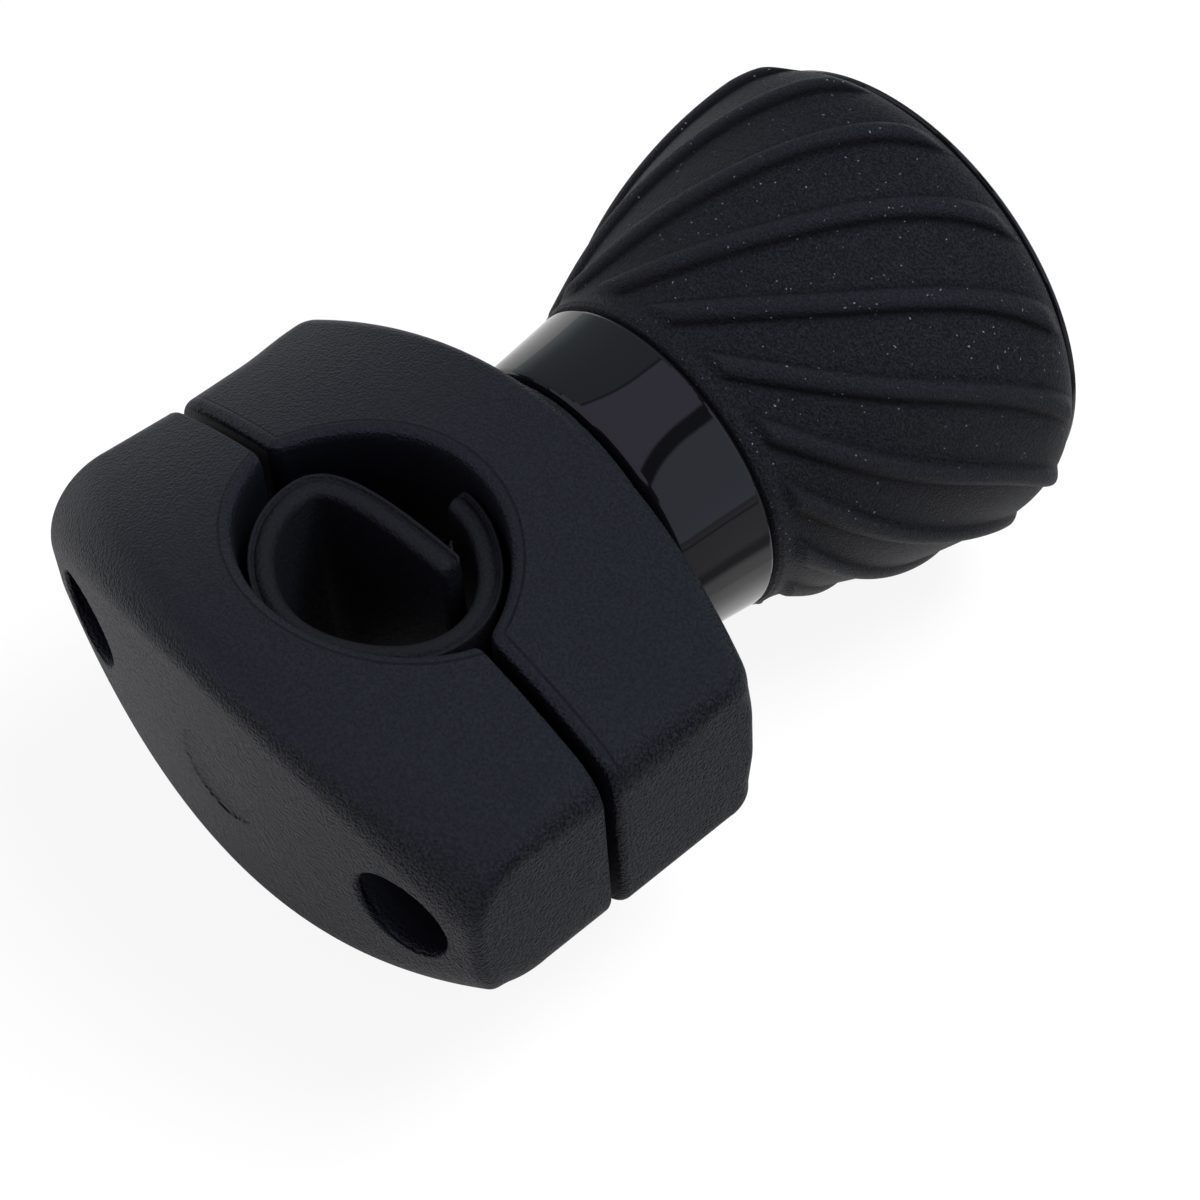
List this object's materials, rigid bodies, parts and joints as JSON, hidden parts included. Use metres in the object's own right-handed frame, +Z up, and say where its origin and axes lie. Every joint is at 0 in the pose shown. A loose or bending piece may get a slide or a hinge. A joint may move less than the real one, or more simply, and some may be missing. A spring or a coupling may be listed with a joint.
{
  "type": "steering wheel spinner knob",
  "caption": "Spinner knob for a steering wheel: a split clamp for the rim and a flared, spirally ribbed rubber grip that turns freely on ball bearings.",
  "frame": {"origin": "middle of the clamp's bore, on the parting plane between its cap and its base", "axes": "+X across the two clamp screws, +Y along the spindle towards the grip, +Z up along the bore"},
  "size_m": [0.077, 0.1097, 0.0655],
  "materials": {
    "housing": "fine moulded grain, dark grey",
    "liner_rubber": "matt rubber strip",
    "grip_rubber": "soft matt rubber, faint grain",
    "gloss_black": "polished black",
    "steel": "zinc plated",
    "bearing_steel": "ground",
    "cage": "pressed sheet",
    "bright_disc": "satin, silver coloured"
  },
  "bodies": {
    "clamp_base": {"clamp_base": "housing", "nut_left": "steel", "nut_right": "steel", "spindle_bolt": "steel", "spindle_washer": "steel", "lower_inner_race": "bearing_steel", "bearing_spacer": "steel", "upper_inner_race": "bearing_steel", "nut_washer": "steel", "lock_nut": "steel"},
    "clamp_cap": {"clamp_cap": "housing", "rim_liner": "liner_rubber"},
    "knob": {"knob_core": "gloss_black", "grip_sleeve": "grip_rubber", "end_cap": "gloss_black", "face_disc": "bright_disc", "lower_outer_race": "bearing_steel", "upper_outer_race": "bearing_steel", "bearing_ring": "steel"},
    "lower_rollers": {"lower_balls": "bearing_steel", "lower_cage": "cage"},
    "upper_rollers": {"upper_balls": "bearing_steel", "upper_cage": "cage"}
  },
  "joints": [
    {"name": "knob_spin", "type": "hinge", "parent": "clamp_base", "child": "knob", "pos_m": [0, 0.06, 0], "axis": [0, 1, 0], "continuous": true},
    {"name": "lower_cage_spin", "type": "hinge", "parent": "clamp_base", "child": "lower_rollers", "pos_m": [0, 0.0323, 0], "axis": [0, 1, 0], "continuous": true},
    {"name": "upper_cage_spin", "type": "hinge", "parent": "clamp_base", "child": "upper_rollers", "pos_m": [0, 0.0543, 0], "axis": [0, 1, 0], "continuous": true},
    {"name": "cap_slide", "type": "slide", "parent": "clamp_base", "child": "clamp_cap", "axis": [0, -1, 0], "range_m": [0, 0.03]}
  ],
  "couplings": [
    {"joint": "lower_cage_spin", "follows": "knob_spin", "ratio": 0.6314},
    {"joint": "upper_cage_spin", "follows": "knob_spin", "ratio": 0.6314}
  ]
}
